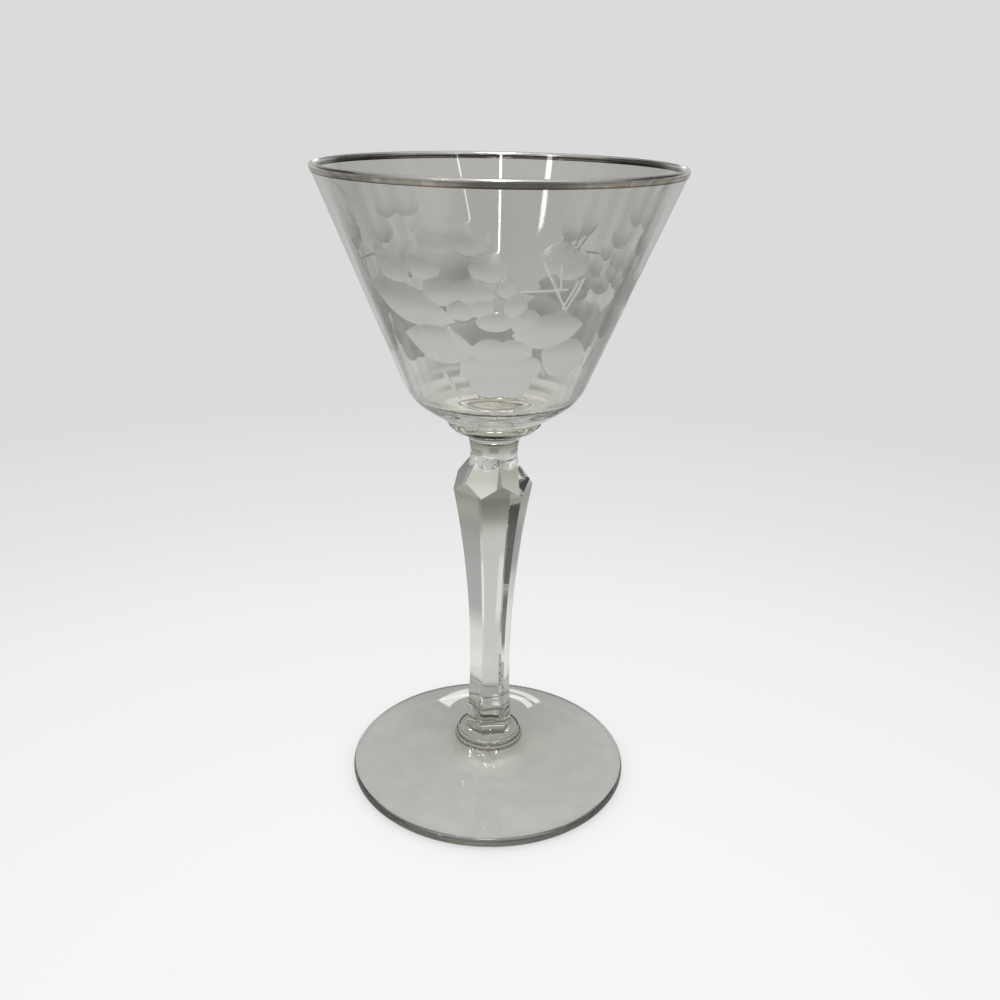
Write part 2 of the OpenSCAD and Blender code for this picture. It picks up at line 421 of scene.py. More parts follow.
shoulder = np.array((SHOULDER_X, bowl_low.z + SHOULDER_UP))
lip_r = WALL_T / 2
lip_centre = np.array((bowl_high.x - lip_r, bowl_high.z - lip_r))
to_lip = lip_centre - shoulder
wall_lean = atan2(*to_lip) + asin(lip_r / np.linalg.norm(to_lip))
wall_out = np.array((cos(wall_lean), -sin(wall_lean)))
wall_up = np.array((sin(wall_lean), cos(wall_lean)))


def meet(p, along_p, q, along_q):
    """The point where two lines meet, each given by a point and a direction."""
    across = np.array((along_q[1], -along_q[0]))
    return p + along_p * ((q - p) @ across) / (along_p @ across)


bowl_seat = np.array((BOWL_SEAT_R, bowl_low.z))
rise = (shoulder - bowl_seat) / np.linalg.norm(shoulder - bowl_seat)
rise_in = bowl_seat + WALL_T * np.array((-rise[1], rise[0]))
floor_z = bowl_low.z + FLOOR_T
outer_lip = lip_centre + lip_r * wall_out
inner_lip = lip_centre - lip_r * wall_out
inner_corner = meet(inner_lip, -wall_up, rise_in, rise)
floor_corner = meet(np.array((0, floor_z)), np.array((1, 0)), rise_in, rise)
print("wall leans", round(degrees(wall_lean), 2), "degrees")

# %% Spin the bowl
BOWL_COLUMNS = 640
WALL_ROWS = 132
INNER_WALL_ROWS = 40
SHOULDER_STEPS = 24
INNER_SHOULDER_STEPS = 12
FLOOR_CORNER_STEPS = 16
INNER_RISE_STEPS = 4

outer_shoulder = rounded(bowl_seat, shoulder, outer_lip, SHOULDER_R, SHOULDER_STEPS)
inner_shoulder = rounded(inner_lip, inner_corner, floor_corner, INNER_SHOULDER_R, INNER_SHOULDER_STEPS)
inner_floor = rounded(inner_corner, floor_corner, (0, floor_z), FLOOR_CORNER_R, FLOOR_CORNER_STEPS)
wall_rows = straight(outer_shoulder[-1], outer_lip, WALL_ROWS)
below = [
    (0, bowl_low.z),
    (disc_r / 2, bowl_low.z),
    (disc_r, bowl_low.z),
    tuple(bowl_seat),
    *straight(bowl_seat, outer_shoulder[0]),
    *outer_shoulder,
]
above = [
    *arc(lip_centre, lip_r, -wall_lean, pi - wall_lean, ROUND_STEPS),
    *straight(inner_lip, inner_shoulder[0], INNER_WALL_ROWS),
    *inner_shoulder,
    *straight(inner_shoulder[-1], inner_floor[0], INNER_RISE_STEPS),
    *inner_floor,
    (inner_floor[-1][0] / 2, floor_z),
    (0, floor_z),
]
bowl_mesh = lathe("bowl_glass", below + wall_rows + above, BOWL_COLUMNS)

# %% [markdown]
# ### Where the wheel touched
# The same spray was cut three times round the bowl, with clear glass between. Each has a flower of six
# oval petals under the rim, with buds beside it, and small ovals, broad leaves and a low flower below.
# Thin mitre cuts are the stalks and the veins. A touch is given by its bearing from the camera's side in
# degrees, its height, and its half-width and half-height on the wall in millimetres. A flower has the
# radius of its ring instead, a leaf also a turn in degrees, and a mitre cut its two ends.

# %% List the touches of the wheel
REPEATS = 3
PETALS = 6
PETAL_SIZE = (3.9, 3.3)
FLOWERS = ((-14.2, 127.2, 6.3), (2.5, 106.4, 4.3))
BUD_PETALS = (
    (19.3, 129.0, 3.2, 3.5),
    (25.5, 127.2, 3.6, 3.0),
    (-39, 126.0, 4.0, 3.6),
)
SMALL_OVALS = (
    (-13.8, 118.6, 2.8, 2.4),
    (-6, 119.4, 2.7, 2.5),
    (3.6, 123.4, 2.3, 2.3),
    (7, 119.7, 2.3, 3.0),
    (-0.7, 116.4, 3.6, 2.2),
    (2.5, 106.4, 3.9, 3.3),
    (11.5, 116.5, 3.0, 3.0),
)
LEAVES = (
    (22.5, 114.4, 7.6, 4.2, 6),
    (34, 108.2, 6.2, 4.6, -20),
    (-26, 111.2, 8.0, 4.6, -10),
    (-37, 119.0, 10.5, 4.6, -18),
)
STALKS = (
    (8.3, 122.6, 26, 122.7),
    (14.8, 128.3, 26, 118.8),
    (21.5, 127.0, 23, 122.8),
    (25.6, 118.9, 29.5, 124.0),
    (27.5, 118.7, 31.5, 124.5),
)
VEINS = (
    (-33, 113.8, -29, 107.5),
    (-29, 111.2, -27.5, 109.0),
    (-26, 104.5, -20, 99.8),
    (-14, 107.0, -17.5, 104.6),
    (-20, 115.0, -13, 108.4),
)


def wall_radius(z):
    """Radius of the outer wall at a height, both in millimetres."""
    return outer_lip[0] / MM - tan(wall_lean) * (outer_lip[1] / MM - z)


def flower(bearing, z, ring_r):
    """The petals of one flower: (bearing, height, half-width, half-height)."""
    petals = []
    for number in range(PETALS):
        turn = number * 2 * pi / PETALS
        petal_z = z + ring_r * sin(turn) * cos(wall_lean)
        petal_bearing = bearing + degrees(ring_r * cos(turn) / wall_radius(petal_z))
        petals.append((petal_bearing, petal_z, *PETAL_SIZE))
    return petals


ovals, leaves, mitres = [], [], []
for number in range(REPEATS):
    round_to = number * 360 / REPEATS
    for bearing, z, ring_r in FLOWERS:
        ovals += flower(bearing + round_to, z, ring_r)
    for bearing, z, half_w, half_h in BUD_PETALS + SMALL_OVALS:
        ovals.append((bearing + round_to, z, half_w, half_h))
    for bearing, z, half_w, half_h, turn in LEAVES:
        leaves.append((bearing + round_to, z, half_w, half_h, radians(turn)))
    for bearing, z, end_bearing, end_z in STALKS + VEINS:
        mitres.append((bearing + round_to, z, end_bearing + round_to, end_z))
print(len(ovals), "ovals", len(leaves), "leaves", len(mitres), "mitre cuts")

# %% [markdown]
# ### Sink the wall
# For every point of the wall the script works out how far inside each touch it lies, from 1 in the middle
# to 0 at the edge. The largest such value is kept on the mesh as an attribute: its zero line is the edge
# of the matt ground, which the material draws. The depth of the scoop comes from the same value. A
# second attribute is painted light: it runs from 0 at the top of a touch to 1 at its bottom, so the bottom
# of each touch comes out whiter, and it is shifted up for the low touches and down for the high ones, so
# the low touches come out whiter than the high ones.

# %% Find the points of the wall
first_row = len(below) - 1
wall_points = np.arange(first_row * BOWL_COLUMNS, (first_row + len(wall_rows)) * BOWL_COLUMNS)
places = np.empty(len(bowl_mesh.vertices) * 3)
bowl_mesh.vertices.foreach_get("co", places)
places = places.reshape(-1, 3)
wall = places[wall_points]
wall_bearing = np.arctan2(wall[:, 0], -wall[:, 1])
wall_z = wall[:, 2] / MM
wall_r = np.hypot(wall[:, 0], wall[:, 1]) / MM
print(len(wall), "points on the wall")

# %% How far inside a touch the points lie
MITRE_HALF_W = 0.28
OUTSIDE = -1.0


def on_wall(bearing, z):
    """Offsets of every wall point from a place, round the wall and up its slope, in millimetres."""
    turn = wall_bearing - radians(bearing)
    turn = (turn + pi) % (2 * pi) - pi
    return turn * wall_r, (wall_z - z) / cos(wall_lean)


def inside_oval(bearing, z, half_w, half_h):
    """1 in the middle of an oval touch, 0 at its edge and less outside."""
    across, up = on_wall(bearing, z)
    return 1 - np.hypot(across / half_w, up / half_h)


def inside_leaf(bearing, z, half_w, half_h, turn):
    """The same for a leaf with two pointed ends."""
    across, up = on_wall(bearing, z)
    u = across * cos(turn) + up * sin(turn)
    v = up * cos(turn) - across * sin(turn)
    width = np.maximum(1 - (u / half_w) ** 2, 0)
    return np.where(np.abs(u) < half_w, width - np.abs(v) / half_h, OUTSIDE)


def inside_mitre(bearing, z, end_bearing, end_z):
    """The same for a thin straight cut."""
    across, up = on_wall(bearing, z)
    run = radians(end_bearing - bearing) * wall_radius((z + end_z) / 2)
    climb = (end_z - z) / cos(wall_lean)
    length = hypot(run, climb)
    along = np.clip((across * run + up * climb) / length, 0, length)
    away = np.hypot(across - along * run / length, up - along * climb / length)
    return 1 - away / MITRE_HALF_W


print("a mitre cut is", 2 * MITRE_HALF_W, "mm wide")

# %% Grind every touch
OVAL_DEPTH = 0.16 * MM
LEAF_DEPTH = 0.14 * MM
MITRE_DEPTH = 0.1 * MM
WHITER_BELOW_Z = 124
WHITER_SPAN = 30
MOST_WHITER = 0.45

matt = np.full(len(wall), OUTSIDE)
stroke = np.zeros(len(wall))
bright = np.full(len(wall), OUTSIDE)
depth = np.zeros(len(wall))
for touches, inside, touch_depth in (
    (ovals, inside_oval, OVAL_DEPTH),
    (leaves, inside_leaf, LEAF_DEPTH),
):
    for touch in touches:
        share = np.maximum(inside(*touch), OUTSIDE)
        bearing, z, _, half_h = touch[:4]
        up = on_wall(bearing, z)[1]
        # Painted light: the bottom of each touch is whiter, and the low touches more than the high ones.
        low_touch_light = min(MOST_WHITER, (WHITER_BELOW_Z - z) / WHITER_SPAN)
        light_in_touch = 0.5 - up / half_h / 2 + low_touch_light
        stroke = np.where(share > matt, np.clip(light_in_touch, 0, 1), stroke)
        matt = np.maximum(matt, share)
        scoop = np.clip(share, 0, 1)
        depth = np.maximum(depth, touch_depth * scoop * (2 - scoop))
for touch in mitres:
    share = np.maximum(inside_mitre(*touch), OUTSIDE)
    bright = np.maximum(bright, share)
    depth = np.maximum(depth, MITRE_DEPTH * np.clip(share, 0, 1))
print("share of the wall cut:", round(float((matt > 0).mean()), 2))

# %% Sink the wall and keep the attributes
outward = np.empty_like(wall)
outward[:, 0] = np.sin(wall_bearing) * wall_out[0]
outward[:, 1] = -np.cos(wall_bearing) * wall_out[0]
outward[:, 2] = wall_out[1]
places[wall_points] -= outward * depth[:, None]
bowl_mesh.vertices.foreach_set("co", places.ravel())
for name, values in (("matt", matt), ("stroke", stroke), ("bright", bright)):
    whole = np.full(len(bowl_mesh.vertices), OUTSIDE)
    whole[wall_points] = values
    kept = bowl_mesh.attributes.new(name, "FLOAT", "POINT")
    kept.data.foreach_set("value", whole.astype(np.float32))
bowl_mesh.update()
bowl = add_piece(bowl_mesh)
print("deepest scoop", round(float(depth.max()) / MM, 2), "mm")

# %% [markdown]
# ## The metal line on the rim
# A thin film of metal was brushed over the lip and fired on. It wraps the round lip and runs a little way
# down both faces of the wall, so its section is a long U.

# %% Make the rim line
line_low, line_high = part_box("rim_line")
LINE_OUT = 0.9 * MM
LINE_IN = 0.3 * MM
SINK = 0.02 * MM
LINE_COLUMNS = 320
line_t = line_high.z - bowl_high.z
line_r = lip_r + line_t


def lip_side(down, out):
    """A point beside the wall, from its distances below the centre of the lip and out from mid-wall."""
    return tuple(lip_centre - down * wall_up + out * wall_out)


line_outline = [
    lip_side(LINE_OUT, lip_r - SINK),
    lip_side(LINE_OUT, line_r - line_t / 2),
    lip_side(LINE_OUT - line_t / 2, line_r),
    *straight(lip_side(LINE_OUT - line_t / 2, line_r), lip_side(0, line_r)),
    *arc(lip_centre, line_r, -wall_lean, pi - wall_lean, ROUND_STEPS),
    lip_side(LINE_IN - line_t / 2, -line_r),
    lip_side(LINE_IN, line_t / 2 - line_r),
    lip_side(LINE_IN, SINK - lip_r),
    *arc(lip_centre, lip_r - SINK, pi - wall_lean, -wall_lean, ROUND_STEPS),
]


def ring(name, outline, columns):
    """Spins a closed outline that doesn't touch the axis."""
    mesh = bpy.data.meshes.new(name)
    points, faces = [], []
    count = len(outline)
    for column in range(columns):
        bearing = column * 2 * pi / columns
        points += [(r * sin(bearing), -r * cos(bearing), z) for r, z in outline]
        low, high = column * count, (column + 1) % columns * count
        for here in range(count):
            there = (here + 1) % count
            faces.append((low + here, high + here, high + there, low + there))
    mesh.from_pydata(points, [], faces)
    print(name, len(points), "points")
    return mesh


rim_line = add_piece(ring("rim_line_metal", line_outline, LINE_COLUMNS))

# %% [markdown]
# ## Shader maths
# Materials are node trees. One small class wraps a socket, so that sums of sockets can be written as
# Python expressions. Every other node comes from its one method: the node's type, then its settings, then
# its inputs.

# %% A socket that takes Python's operators


class Wire:
    """A socket of a node tree. Each operator adds one Math node to the tree."""

    def __init__(self, tree, socket):
        self.tree = tree
        self.socket = socket

    @staticmethod
    def node(tree, kind, settings=None, inputs=None, output=0):
        """Adds a node: its settings, then values or links for its inputs. Gives one of its outputs."""
        made = tree.nodes.new(kind)
        for name, value in (settings or {}).items():
            if name == "stops":
                ramp = made.color_ramp.elements
                while len(ramp) < len(value):
                    ramp.new(0.5)
                for stop, (place, colour) in zip(ramp, value):
                    stop.position = place
                    stop.color = (*colour, 1)
            else:
                setattr(made, name, value)
        for key, value in (inputs or {}).items():
            if isinstance(value, Wire):
                tree.links.new(value.socket, made.inputs[key])
            else:
                made.inputs[key].default_value = value
        return Wire(tree, made.outputs[output]) if made.outputs else None

    def out(self, name):
        """Another output of the same node."""
        return Wire(self.tree, self.socket.node.outputs[name])

    def maths(self, operation, *values):
        """A Math node with these values or links."""
        return Wire.node(self.tree, "ShaderNodeMath", {"operation": operation}, dict(enumerate(values)))

    def __add__(self, other):
        return self.maths("ADD", self, other)

    __radd__ = __add__

    def __sub__(self, other):
        return self.maths("SUBTRACT", self, other)

    def __rsub__(self, other):
        return self.maths("SUBTRACT", other, self)

    def __mul__(self, other):
        return self.maths("MULTIPLY", self, other)

    __rmul__ = __mul__

    def __truediv__(self, other):
        return self.maths("DIVIDE", self, other)

    def __abs__(self):
        return self.maths("ABSOLUTE", self)

    def between(self, low, high):
        """0 below low, 1 above high, and a soft step between."""
        settings = {"interpolation_type": "SMOOTHSTEP"}
        return Wire.node(self.tree, "ShaderNodeMapRange", settings, {0: self, 1: low, 2: high})

    def near(self, centre, half, soft):
        """1 within a distance of a centre, and a soft fall to 0 beyond it."""
        return 1 - abs(self - centre).between(half, half + soft)


print("sockets can be added")

# %% Helpers for materials


def new_material(name):
    """An empty material and the method that adds nodes to it."""
    material = bpy.data.materials.new(name)
    material.use_nodes = True
    material.node_tree.nodes.clear()
    return material, partial(Wire.node, material.node_tree)


def mixed(add, factor, one, other):
    """One colour where the factor is 0 and the other where it is 1."""
    return add("ShaderNodeMix", {"data_type": "RGBA"}, {0: factor, 6: one, 7: other}, 2)


def noise(add, place, scale, detail):
    """A cloudy value about 0.5."""
    return add("ShaderNodeTexNoise", {}, {"Vector": place, "Scale": scale, "Detail": detail})


def distance(add, place, centre):
    """How far a place is from a centre."""
    return add("ShaderNodeVectorMath", {"operation": "DISTANCE"}, {0: place, 1: centre}, "Value")


print("shader helpers ready")

# %% [markdown]
# ## Plain glass
# The foot, the stem and the collars are plain clear glass. It isn't perfect: it has a faint warm tint, a
# slow ripple from the mould and hairline scuffs from use. Its tint darkens up the foot to the collar, and
# painted shade darkens it over that collar, under the knop, in the neck, in its creases and on the foot's
# edge. A Glass BSDF would do, but one Principled shader with full transmission also survives the export,
# so every glass here uses it.

# %% The tint of the glass at every height, with bands of painted shade
GLASS_TINT = (0.93, 0.93, 0.895, 1)
CLEAR = GLASS_TINT[:3]
DARKER_TINT = (0.82, 0.81, 0.72)
WARM = (0.74, 0.73, 0.6)
OLIVE = (0.68, 0.68, 0.57)
DARK_SHADE = (0.5, 0.5, 0.4)
# Bands of painted shade: dark just over the lower collar, under the widest part of the knop and in the
# neck.
COLLAR_TINTS = ((-0.1, DARKER_TINT), (0.2, DARK_SHADE), (1.2, OLIVE), (2.2, CLEAR))
KNOP_TINTS = ((-12, CLEAR), (-8, DARKER_TINT), (-5, OLIVE), (-2.5, DARK_SHADE), (-0.5, DARK_SHADE), (0.6, CLEAR))
NECK_TINTS = ((-2.6, CLEAR), (-2, DARK_SHADE), (-0.8, DARK_SHADE), (0, WARM))

tint_by_height = [(0, CLEAR), (collar_low.z, DARKER_TINT)]
for level, tints in (
    (collar_high.z, COLLAR_TINTS),
    (stem_low.z + knop_z, KNOP_TINTS),
    (stem_high.z, NECK_TINTS),
):
    tint_by_height += [(level + offset * MM, tint) for offset, tint in tints]
tint_by_height.append((disc_high.z, WARM))
print("tints at", len(tint_by_height), "heights")

# %% Helpers for every glass
GLASS_IOR = 1.52
RIPPLE_STRENGTH = 0.35
RIPPLE_DEPTH = 0.05 * MM
SCUFF_LEVELS = (0.7, 0.76)


def uneven(add, height):
    """The normal of glass with a slow unevenness."""
    inputs = {"Strength": RIPPLE_STRENGTH, "Distance": RIPPLE_DEPTH, "Height": height}
    return add("ShaderNodeBump", {}, inputs)


def hairlines(add, place, stretch, turn):
    """Thin scuffs that run one way: a noise that is stretched along them, cut off near its top."""
    inputs = {"Vector": place, "Rotation": (0, 0, radians(turn)), "Scale": stretch}
    run = add("ShaderNodeMapping", {"vector_type": "POINT"}, inputs)
    return noise(add, run, scale=1, detail=2).between(*SCUFF_LEVELS)


def clear_shader(add, tint, roughness, normal):
    """A Principled shader with full transmission."""
    inputs = {
        "Base Color": tint,
        "Roughness": roughness,
        "IOR": GLASS_IOR,
        "Transmission Weight": 1.0,
        "Normal": normal,
    }
    return add("ShaderNodeBsdfPrincipled", {}, inputs)


print("glass of index", GLASS_IOR)

# %% Make the plain glass
SCUFF_TINT = (0.88, 0.88, 0.84, 1)
EDGE_SHADE_TINT = (0.3, 0.3, 0.25, 1)
CREASE_SHADE_TINT = (0.2, 0.19, 0.15, 1)
POLISH = 0.012
SCUFF_ROUGHNESS = 0.12
SCUFFS = (((120, 2600, 120), 24), ((2900, 150, 150), -12))
RIPPLE_SCALE = 70
EDGE_SHARES = (0.5, 0.85)
CREASE_HALF_H = 0.15 * MM
CREASES = (
    collar_low.z,
    collar_low.z + 2 * bead_r,
    stem_low.z + PLINTH_H,
    stem_low.z + crease_z,
    disc_low.z,
    bevel_end[1],
)


def plain_glass():
    """Clear glass with a slow ripple, hairline scuffs, and painted shade in bands, in its creases and on
    its edge.
    """
    material, add = new_material("plain_glass")
    place = add("ShaderNodeTexCoord", output="Object")
    flat = add("ShaderNodeVectorMath", {"operation": "MULTIPLY"}, {0: place, 1: (1, 1, 0)})
    # Painted shade: the round edge of the foot is darkened.
    edge = distance(add, flat, (0, 0, 0)).between(*(edge_x + share * EDGE_R for share in EDGE_SHARES))
    height = add("ShaderNodeSeparateXYZ", {}, {"Vector": place}, "Z")
    stops = [(level / disc_high.z, tint) for level, tint in tint_by_height]
    tint = add("ShaderNodeValToRGB", {"stops": stops}, {"Fac": height / disc_high.z})
    scuffs = sum(hairlines(add, place, *scuff) for scuff in SCUFFS)
    # Painted shade: a dark line at the height of each crease.
    crease_shade = sum(height.near(level, CREASE_HALF_H, CREASE_HALF_H) for level in CREASES)
    tint = mixed(add, crease_shade, tint, CREASE_SHADE_TINT)
    tint = mixed(add, edge, mixed(add, scuffs, tint, SCUFF_TINT), EDGE_SHADE_TINT)
    normal = uneven(add, noise(add, place, RIPPLE_SCALE, detail=1))
    shader = clear_shader(add, tint, POLISH + scuffs * SCUFF_ROUGHNESS, normal)
    add("ShaderNodeOutputMaterial", {}, {"Surface": shader})
    return material


plain = plain_glass()
print(plain.name, "has", len(plain.node_tree.nodes), "nodes")

# %% [markdown]
# ## Fused joints
# The pieces were joined hot, so no light bends where one meets the next. Two glass faces that only touch
# would show as a mirror inside the stem. The faces that touch therefore get a material that lets
# everything through unchanged.

# %% Make the joint's material and mark the joints


def fused_joint():
    """Fully clear: no surface is there in the real glass."""
    material, add = new_material("fused_joint")
    shader = add("ShaderNodeBsdfPrincipled", {}, {"Base Color": GLASS_TINT, "Alpha": 0.0})
    add("ShaderNodeOutputMaterial", {}, {"Surface": shader})
    return material


joint = fused_joint()
LEVEL_SLACK = 1e-6


def mark_joint(piece, z, r):
    """Gives the joint's material to the faces of a piece that lie at a level and within a radius."""
    count = 0
    for face in piece.data.polygons:
        middle = face.center
        flat = all(abs(piece.data.vertices[v].co.z - z) < LEVEL_SLACK for v in face.vertices)
        if flat and hypot(middle.x, middle.y) < r:
            face.material_index = 1
            count += 1
    print(piece.name, count, "joint faces at", round(z / MM, 2), "mm")


for piece in (foot, foot_collar, stem, bowl_collar):
    piece.data.materials.append(plain)
    piece.data.materials.append(joint)
mark_joint(foot, foot_high.z, bead_x)
mark_joint(foot_collar, collar_low.z, bead_x)
mark_joint(foot_collar, collar_high.z, STEM_R)
mark_joint(stem, stem_low.z, STEM_R)
mark_joint(stem, stem_high.z, neck_r(0))
mark_joint(bowl_collar, disc_low.z, neck_r(0))
mark_joint(bowl_collar, disc_high.z, disc_r)

# %% [markdown]
# ## Cut glass
# The bowl is the same glass, with the matt ground of the cutting on it. The attribute that was kept on
# the mesh says where that is. There the stone left a fine grain. It scatters what shines through, and it
# throws back some of the light that falls on it, so the matt ground is a mix of rough glass and a chalky
# white. Its share of chalky white is painted light: it follows the second attribute, so the bottom of each
# touch and the low touches are whiter. The thin mitre cuts are the whitest. The thick floor of the bowl
# has a warmer tint, and a thin dark ring is painted in the inner corner of its floor, darkest at the
# front.

# %% Make the cut glass
FLOOR_TINT = (0.9, 0.885, 0.8, 1)
RING_TINT = (0.12, 0.115, 0.095, 1)
RING_HALF_H = 0.1 * MM
RING_SOFT = 0.15 * MM
RING_FADE_Y = (-12 * MM, -4 * MM)
RING_FADE_SHARE = 0.8
MATT_TINT = (0.86, 0.86, 0.82, 1)
MATT_ROUGHNESS = 0.6
MATT_EDGE = 0.05
MITRE_EDGE = 0.3
GRAIN_SCALE = 2600
GRAIN_SHARE = 0.25
GRAIN_ROUGHNESS = 0.15
WAVE_SCALE = 60
CHALK_TINT = (0.95, 0.95, 0.92, 1)
CHALK_ROUGHNESS = 0.8
FAINT_GROUND = 0.3
FAINT_CHALK = 0.12
FULL_CHALK = 0.85
MITRE_CHALK = 0.8


def cut_glass():
    """Clear glass with matt scoops."""
    material, add = new_material("cut_glass")
    place = add("ShaderNodeTexCoord", output="Object")
    share = add("ShaderNodeAttribute", {"attribute_name": "matt"}, output="Fac")
    # Painted light: more chalky white towards the bottom of each touch and on the low touches.
    end = add("ShaderNodeAttribute", {"attribute_name": "stroke"}, output="Fac").between(0, 1)
    line = add("ShaderNodeAttribute", {"attribute_name": "bright"}, output="Fac").between(0, MITRE_EDGE)
    ground = share.between(0, MATT_EDGE) * (1 - line) * (FAINT_GROUND + (1 - FAINT_GROUND) * end)
    grain = noise(add, place, GRAIN_SCALE, detail=3)
    normal = uneven(add, noise(add, place, WAVE_SCALE, detail=1) + grain * ground * GRAIN_SHARE)
    level = add("ShaderNodeSeparateXYZ", {}, {"Vector": place}, "Z")
    # A thin dark ring painted in the inner corner of the floor, darkest at the front.
    ring_fade = RING_FADE_SHARE * level.out("Y").between(*RING_FADE_Y)
    corner_ring = level.near(inner_corner[1], RING_HALF_H, RING_SOFT) * (1 - ring_fade)
    tint = mixed(add, level.between(floor_z, shoulder[1]), FLOOR_TINT, GLASS_TINT)
    tint = mixed(add, ground, mixed(add, corner_ring, tint, RING_TINT), MATT_TINT)
    roughness = POLISH + ground * (MATT_ROUGHNESS + (grain - 0.5) * GRAIN_ROUGHNESS)
    glass = clear_shader(add, tint, roughness, normal)
    inputs = {"Base Color": CHALK_TINT, "Roughness": CHALK_ROUGHNESS, "Normal": normal}
    chalk = add("ShaderNodeBsdfPrincipled", {}, inputs)
    pale = FAINT_CHALK + (FULL_CHALK - FAINT_CHALK) * end
    shader = add("ShaderNodeMixShader", {}, {0: ground * pale + line * MITRE_CHALK, 1: glass, 2: chalk})
    add("ShaderNodeOutputMaterial", {}, {"Surface": shader})
    return material


bowl.data.materials.append(cut_glass())
bowl.data.materials.append(joint)
mark_joint(bowl, bowl_low.z, disc_r)

# %% [markdown]
# ## Fired metal
# The line on the rim is a thin bright metal that years of washing have dulled: it is a warm brown grey
# with small rubbed places where it has gone darker and rougher. A painted highlight makes it lighter
# along the top of the lip, and it is painted darker along its lower edge.

# %% Make the rim's metal
METAL_TINT = (0.52, 0.49, 0.42, 1)
RUBBED_TINT = (0.31, 0.285, 0.235, 1)
TOP_HIGHLIGHT_TINT = (0.92, 0.89, 0.84, 1)
LOWER_EDGE_DARK_TINT = (0.2, 0.175, 0.15, 1)
METAL_ROUGHNESS = 0.16
RUBBED_ROUGHNESS = 0.22
CLOUD_SCALE = 180
CLOUD_LEVELS = (0.5, 0.68)
CLOUD_SHARE = 0.7
SPECK_SCALE = 1500
SPECK_LEVELS = (0.6, 0.7)
SPECK_STRENGTH = 0.2
SPECK_DEPTH = 0.02 * MM
TOP_HIGHLIGHT_DOWN = (0.8 * MM, 0.45 * MM)
LOWER_EDGE_UP = (0.15 * MM, 0.4 * MM)


def fired_metal():
    """A bright metal coat with rubbed places, a painted highlight along the top and a darker lower edge.
    """
    material, add = new_material("fired_metal")
    place = add("ShaderNodeTexCoord", output="Object")
    specks = noise(add, place, SPECK_SCALE, detail=2)
    rubbed = noise(add, place, CLOUD_SCALE, detail=4).between(*CLOUD_LEVELS) * CLOUD_SHARE
    rubbed = rubbed + specks.between(*SPECK_LEVELS) * (1 - CLOUD_SHARE)
    height = add("ShaderNodeSeparateXYZ", {}, {"Vector": place}, "Z")
    # Painted highlight: a lighter band along the top of the lip.
    top_highlight = height.between(*(line_high.z - down for down in TOP_HIGHLIGHT_DOWN))
    # Painted darker along the lower edge of the line.
    lower_edge_dark = 1 - height.between(*(line_low.z + up for up in LOWER_EDGE_UP))
    tint = mixed(add, top_highlight, mixed(add, rubbed, METAL_TINT, RUBBED_TINT), TOP_HIGHLIGHT_TINT)
    pitted = {"Strength": SPECK_STRENGTH, "Distance": SPECK_DEPTH, "Height": specks}
    inputs = {
        "Base Color": mixed(add, lower_edge_dark, tint, LOWER_EDGE_DARK_TINT),
        "Metallic": 1.0,
        "Roughness": METAL_ROUGHNESS + rubbed * RUBBED_ROUGHNESS,
        "Normal": add("ShaderNodeBump", {}, pitted),
    }
    shader = add("ShaderNodeBsdfPrincipled", {}, inputs)
    add("ShaderNodeOutputMaterial", {}, {"Surface": shader})
    return material


metal = fired_metal()
rim_line.data.materials.append(metal)
print(metal.name, "has", len(metal.node_tree.nodes), "nodes")

# %% [markdown]
# ## Tie the pieces to the frame
# Nothing on this glass moves, so every piece rides on the one body, and the node of the frame that it
# stands for is hidden.

# %% Ride and replace
for piece, node, slot in (
    (foot, "foot", "glass"),
    (foot_collar, "foot_collar", "glass"),
    (stem, "stem", "glass"),
    (bowl_collar, "bowl_collar", "glass"),
    (bowl, "bowl", "glass"),
    (rim_line, "rim_line", "rim_metal"),
):
    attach(piece, "root")
    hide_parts(node)
    print(piece.name, "stands for", node)

# %% [markdown]
# ## The table and the light
# The backdrop of the photograph is a pale sweep, almost white in front and light grey behind. The glass
# itself shows a darker room with strong contrasts, and these draw its facets and edges. So the floor and
# the world answer two questions: what the camera sees straight on, and what a ray sees that has been
# through the glass or off it.

# %% Helpers for tones
FOLD_WIDTH = 15
FOLD_DARK = 0.4
FOLD_SECTOR = (92, 30, 14)
FOLD_WAVE = (-0.6, 0.6)
IN_DEGREES = 180 / pi


def grey(value):
    """A colour with three equal parts."""
    return (value, value, value)


def compass(split):
    """The bearing of a split vector in degrees, from the camera's side round to its right."""
    return split.maths("ARCTAN2", split.out("X"), -1 * split.out("Y")) * IN_DEGREES


def folds(bearing):
    """Dims the two sides of the room in upright folds, like curtains."""
    turned = abs(bearing)
    wave = bearing.maths("SINE", bearing * (2 * pi / FOLD_WIDTH))
    return 1 - FOLD_DARK * turned.near(*FOLD_SECTOR) * wave.between(*FOLD_WAVE)


def toned(add, value, tones):
    """A tone for each distance, from a list of (distance, tone)."""
    far = tones[-1][0]
    stops = [(reach / far, grey(tone)) for reach, tone in tones]
    return add("ShaderNodeValToRGB", {"stops": stops}, {"Fac": value / far})


print("a fold is", FOLD_WIDTH, "degrees wide")

# %% [markdown]
# ### The floor
# Straight on, the floor is a pale paper that darkens slowly with the distance, with a soft shadow under
# the edge of the foot. Through the glass it is a table: dim and a little uneven under the foot, with a
# spot of light that the stem gathers in the middle, bright beside it, and dark in front, where the camera
# and its stand keep the light off. Two dim patches further out shade facets of the stem, and a dim strip
# far behind the glass shades the middle of the bowl. A sector is a bearing, a half-width and a soft edge
# in degrees. A soft step along the table lies between two distances in metres.

